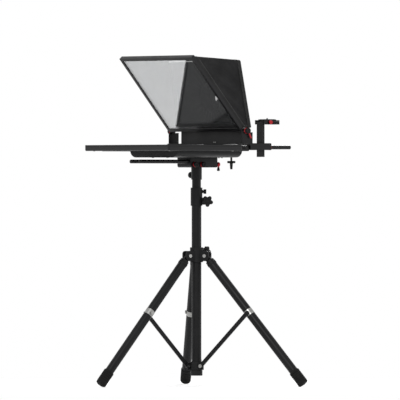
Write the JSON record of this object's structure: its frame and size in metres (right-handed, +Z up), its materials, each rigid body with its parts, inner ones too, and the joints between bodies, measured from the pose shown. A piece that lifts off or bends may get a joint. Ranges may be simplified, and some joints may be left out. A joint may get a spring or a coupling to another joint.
{
  "type": "teleprompter",
  "caption": "Folding column stand with a swivelling head: an upward-facing monitor on a tray, a tilting hooded beam-splitter glass and a camera plate on sliding rods.",
  "frame": {"origin": "on the floor under the column axis", "axes": "+Z up, +X towards the camera, -X towards the presenter, +Y to the left of someone who faces the presenter's side from behind"},
  "size_m": [0.9055, 0.827, 1.2935],
  "materials": {
    "painted_steel": "satin black powder coat on steel tube",
    "black_anodised": "black anodised",
    "black_rods": "black anodised, drawn",
    "moulded_nylon": "moulded glass-filled nylon",
    "bush_nylon": "natural nylon",
    "rubber": "moulded",
    "zinc_steel": "zinc plated",
    "red_anodised": "red anodised",
    "monitor_plastic": "fine grain",
    "screen": "polished panel",
    "circuit_board": "lacquered",
    "glass": "half-silvered coating",
    "black_cloth": "woven"
  },
  "bodies": {
    "column": {"lower_column": "painted_steel", "column_cap": "moulded_nylon", "hub": "moulded_nylon", "hub_pins": "zinc_steel", "mast_collar": "moulded_nylon", "mast_bush": "bush_nylon"},
    "mast": {"upper_mast": "painted_steel"},
    "mast_knob": {"mast_knob": "moulded_nylon"},
    "pull_pin": {"pull_pin": "moulded_nylon"},
    "yoke": {"yoke": "moulded_nylon", "yoke_pins": "zinc_steel"},
    "yoke_knob": {"yoke_knob": "moulded_nylon"},
    "head": {"head_sleeve": "black_anodised", "head_bracket": "black_anodised", "tray": "painted_steel", "monitor_back": "monitor_plastic", "monitor_bezel": "monitor_plastic", "monitor_screen": "screen", "monitor_board": "circuit_board", "spine_plate": "black_anodised", "rod_mount": "black_anodised", "rear_rods": "black_rods", "hood_base": "painted_steel", "apron": "painted_steel", "plate_screws": "zinc_steel"},
    "head_knob": {"head_knob": "moulded_nylon"},
    "rod_knob_1": {"rod_knob_1": "red_anodised"},
    "rod_knob_2": {"rod_knob_2": "red_anodised"},
    "clamp_lever": {"clamp_lever": "red_anodised"},
    "front_rods": {"front_rods": "black_rods"},
    "power_button": {"power_button": "monitor_plastic"},
    "t_screw": {"t_screw": "moulded_nylon"},
    "hood": {"glass_frame": "black_anodised", "beam_splitter": "glass", "hood_cloth": "black_cloth", "rear_frame": "black_anodised"},
    "hinge_knob_near": {"hinge_knob_near": "red_anodised"},
    "hinge_knob_far": {"hinge_knob_far": "red_anodised"},
    "riser": {"riser_block": "black_anodised"},
    "riser_knob": {"riser_knob": "red_anodised"},
    "riser_post": {"riser_post": "black_anodised", "camera_plate": "black_anodised"},
    "plate_lever": {"plate_lever": "red_anodised"},
    "quick_plate": {"quick_plate": "black_anodised"},
    "camera_screw": {"camera_screw": "zinc_steel"},
    "leg_1": {"leg_end_1": "moulded_nylon", "leg_tube_1": "painted_steel", "rubber_foot_1": "rubber", "leg_clamp_1": "zinc_steel"},
    "strut_1": {"strut_1": "painted_steel"},
    "leg_2": {"leg_end_2": "moulded_nylon", "leg_tube_2": "painted_steel", "rubber_foot_2": "rubber", "leg_clamp_2": "zinc_steel"},
    "strut_2": {"strut_2": "painted_steel"},
    "leg_3": {"leg_end_3": "moulded_nylon", "leg_tube_3": "painted_steel", "rubber_foot_3": "rubber", "leg_clamp_3": "zinc_steel"},
    "strut_3": {"strut_3": "painted_steel"}
  },
  "joints": [
    {"name": "yoke_slide", "type": "slide", "parent": "column", "child": "yoke", "axis": [0, 0, 1], "range_m": [0, 0.144]},
    {"name": "leg_1_fold", "type": "hinge", "parent": "yoke", "child": "leg_1", "pos_m": [-0.0407, 0, 0.5104], "axis": [0, -1, 0], "range_deg": [0, 36.5]},
    {"name": "strut_1_fold", "type": "hinge", "parent": "column", "child": "strut_1", "pos_m": [-0.0274, 0, 0.0788], "axis": [0, 1, 0], "range_deg": [0, 37.5]},
    {"name": "leg_2_fold", "type": "hinge", "parent": "yoke", "child": "leg_2", "pos_m": [0.02035, 0.03525, 0.5104], "axis": [-0.866, 0.5, 0], "range_deg": [0, 36.5]},
    {"name": "strut_2_fold", "type": "hinge", "parent": "column", "child": "strut_2", "pos_m": [0.0137, 0.02373, 0.0788], "axis": [0.866, -0.5, 0], "range_deg": [0, 37.5]},
    {"name": "leg_3_fold", "type": "hinge", "parent": "yoke", "child": "leg_3", "pos_m": [0.02035, -0.03525, 0.5104], "axis": [0.866, 0.5, 0], "range_deg": [0, 36.5]},
    {"name": "strut_3_fold", "type": "hinge", "parent": "column", "child": "strut_3", "pos_m": [0.0137, -0.02373, 0.0788], "axis": [-0.866, -0.5, 0], "range_deg": [0, 37.5]},
    {"name": "mast_slide", "type": "slide", "parent": "column", "child": "mast", "axis": [0, 0, 1], "range_m": [-0.025, 0.45]},
    {"name": "mast_knob_turn", "type": "hinge", "parent": "column", "child": "mast_knob", "pos_m": [0.03501, -0.02497, 0.725], "axis": [-0.5807, -0.8141, 0], "range_deg": [0, 720]},
    {"name": "pull_pin_pull", "type": "slide", "parent": "column", "child": "pull_pin", "axis": [0.8141, -0.5807, 0], "range_m": [0, 0.008], "stiffness_N_per_m": 600, "springref_m": -0.004},
    {"name": "yoke_knob_turn", "type": "hinge", "parent": "yoke", "child": "yoke_knob", "pos_m": [0.06, 0, 0.526], "axis": [1, 0, 0], "range_deg": [0, 720]},
    {"name": "head_swivel", "type": "hinge", "parent": "mast", "child": "head", "pos_m": [0, 0, 0.85], "axis": [0, 0, 1], "continuous": true},
    {"name": "head_knob_turn", "type": "hinge", "parent": "head", "child": "head_knob", "pos_m": [0, 0.04, 0.8275], "axis": [0, 1, 0], "range_deg": [0, 720]},
    {"name": "rod_knob_1_turn", "type": "hinge", "parent": "head", "child": "rod_knob_1", "pos_m": [-0.04, -0.05, 0.869], "axis": [0, -1, 0], "range_deg": [0, 720]},
    {"name": "rod_knob_2_turn", "type": "hinge", "parent": "head", "child": "rod_knob_2", "pos_m": [-0.004, -0.05, 0.869], "axis": [0, -1, 0], "range_deg": [0, 720]},
    {"name": "clamp_lever_turn", "type": "hinge", "parent": "head", "child": "clamp_lever", "pos_m": [0.075, -0.037, 0.869], "axis": [1, 0, 0], "range_deg": [0, 80]},
    {"name": "front_rods_slide", "type": "slide", "parent": "head", "child": "front_rods", "axis": [1, 0, 0], "range_m": [-0.06, 0.004]},
    {"name": "power_button_press", "type": "slide", "parent": "head", "child": "power_button", "axis": [0, 0, 1], "range_m": [0, 0.0012], "stiffness_N_per_m": 500, "springref_m": -0.001},
    {"name": "t_screw_turn", "type": "hinge", "parent": "head", "child": "t_screw", "pos_m": [0.168, 0, 0.88], "axis": [0, 0, 1], "range_deg": [0, 720]},
    {"name": "hood_tilt", "type": "hinge", "parent": "head", "child": "hood", "pos_m": [0.06, 0, 1], "axis": [0, -1, 0], "range_deg": [0, 45]},
    {"name": "hinge_knob_near_turn", "type": "hinge", "parent": "head", "child": "hinge_knob_near", "pos_m": [0.06, -0.26, 1], "axis": [0, -1, 0], "range_deg": [-30, 60]},
    {"name": "hinge_knob_far_turn", "type": "hinge", "parent": "head", "child": "hinge_knob_far", "pos_m": [0.06, 0.26, 1], "axis": [0, 1, 0], "range_deg": [-30, 60]},
    {"name": "riser_slide", "type": "slide", "parent": "head", "child": "riser", "axis": [1, 0, 0], "range_m": [-0.01, 0.08]},
    {"name": "riser_knob_turn", "type": "hinge", "parent": "riser", "child": "riser_knob", "pos_m": [0.34, 0, 0.9395], "axis": [1, 0, 0], "range_deg": [0, 720]},
    {"name": "riser_post_slide", "type": "slide", "parent": "riser", "child": "riser_post", "axis": [0, 0, 1], "range_m": [-0.06, 0.02]},
    {"name": "plate_lever_turn", "type": "hinge", "parent": "riser_post", "child": "plate_lever", "pos_m": [0.334, -0.034, 1.0355], "axis": [0, -1, 0], "range_deg": [0, 80]},
    {"name": "quick_plate_slide", "type": "slide", "parent": "riser_post", "child": "quick_plate", "axis": [1, 0, 0], "range_m": [-0.02, 0.02]},
    {"name": "camera_screw_turn", "type": "hinge", "parent": "quick_plate", "child": "camera_screw", "pos_m": [0.342, 0, 1.045], "axis": [0, 0, 1], "range_deg": [0, 1440]}
  ],
  "couplings": [
    {"joint": "leg_1_fold", "follows": "yoke_slide", "rad_per_m": 4.2216},
    {"joint": "strut_1_fold", "follows": "yoke_slide", "rad_per_m": 4.347},
    {"joint": "leg_2_fold", "follows": "yoke_slide", "rad_per_m": 4.2216},
    {"joint": "strut_2_fold", "follows": "yoke_slide", "rad_per_m": 4.347},
    {"joint": "leg_3_fold", "follows": "yoke_slide", "rad_per_m": 4.2216},
    {"joint": "strut_3_fold", "follows": "yoke_slide", "rad_per_m": 4.347}
  ]
}
